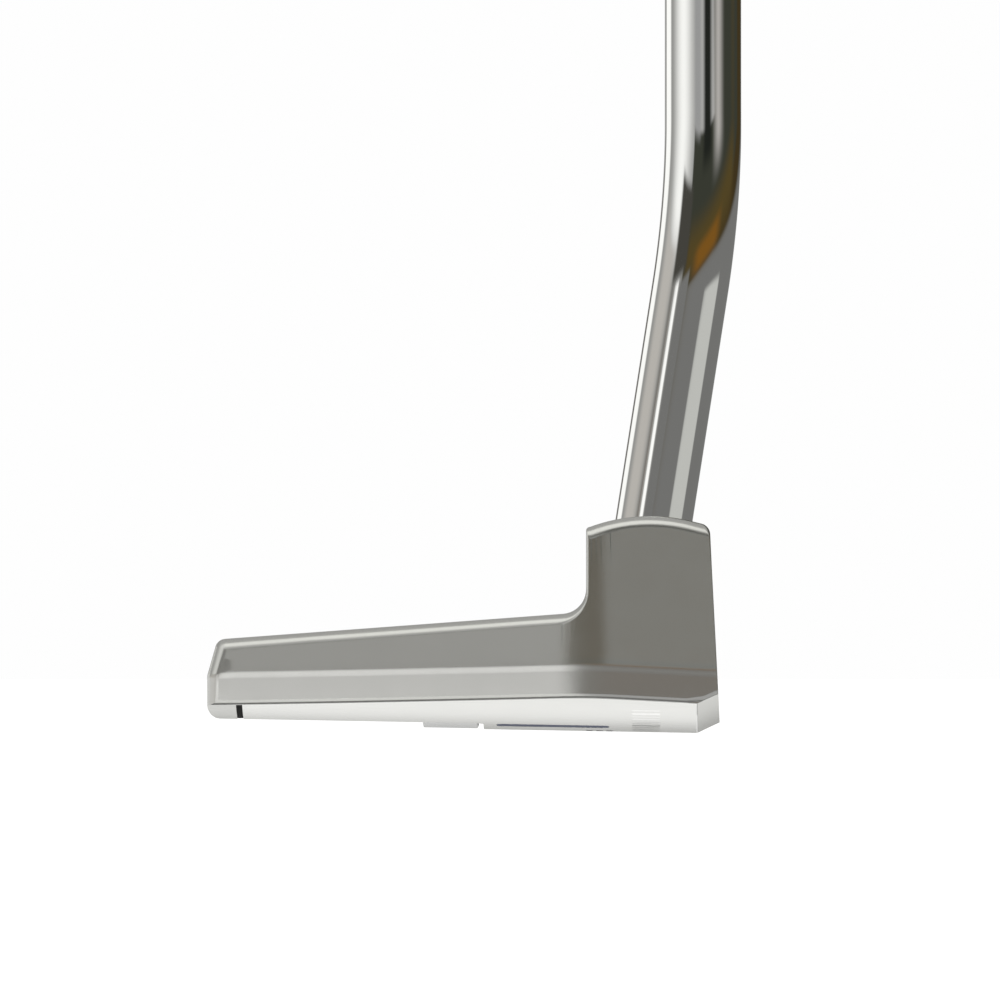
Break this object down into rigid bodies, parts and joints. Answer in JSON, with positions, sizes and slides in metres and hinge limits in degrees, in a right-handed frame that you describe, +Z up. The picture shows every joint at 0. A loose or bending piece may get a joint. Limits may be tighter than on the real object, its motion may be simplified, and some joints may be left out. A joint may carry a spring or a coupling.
{
  "type": "mallet putter",
  "caption": "Right-handed mallet putter: steel head with two wings, inset sole plate and alignment deck, bent steel shaft and rubber pistol grip.",
  "frame": {"origin": "on the flat in the middle of the sole, midway between toe and heel", "axes": "+X the way the face points, +Y from the toe to the heel, +Z up at address; the shaft's upper part is upright seen along Y and leans 20 degrees towards +Y"},
  "size_m": [0.0738, 0.3567, 0.8155],
  "materials": {
    "head_steel": "fine bead-blasted stainless steel",
    "sole_steel": "bright satin stainless steel",
    "plate_adhesive": "cured adhesive film",
    "hosel_adhesive": "cured epoxy",
    "deck_aluminium": "fine satin anodised",
    "screw_steel": "plain",
    "white_enamel": "paint fill",
    "navy_enamel": "paint fill",
    "black_enamel": "paint fill",
    "shaft_chrome": "bright chrome plate",
    "plug_plastic": "moulded",
    "band_label": "plain printed film",
    "tape_paper": "paper-backed adhesive tape",
    "grip_rubber": "matt, textured",
    "cap_rubber": "satin"
  },
  "bodies": {
    "root": {"head_body": "head_steel", "sole_plate": "sole_steel", "sole_plate_bond": "plate_adhesive", "alignment_deck": "deck_aluminium", "deck_screw_toe": "screw_steel", "deck_screw_heel": "screw_steel", "sight_line_inlay": "white_enamel", "sole_badge_toe": "navy_enamel", "sole_badge_heel": "navy_enamel", "sole_mark_toe_1": "black_enamel", "sole_mark_toe_2": "black_enamel", "sole_mark_toe_3": "black_enamel", "sole_mark_heel_1": "black_enamel", "sole_mark_heel_2": "black_enamel", "sole_mark_heel_3": "black_enamel", "shaft": "shaft_chrome", "hosel_epoxy": "hosel_adhesive", "shaft_tip_plug": "plug_plastic", "shaft_band": "band_label", "grip_tape": "tape_paper", "grip": "grip_rubber", "grip_cap": "cap_rubber"}
  },
  "joints": []
}
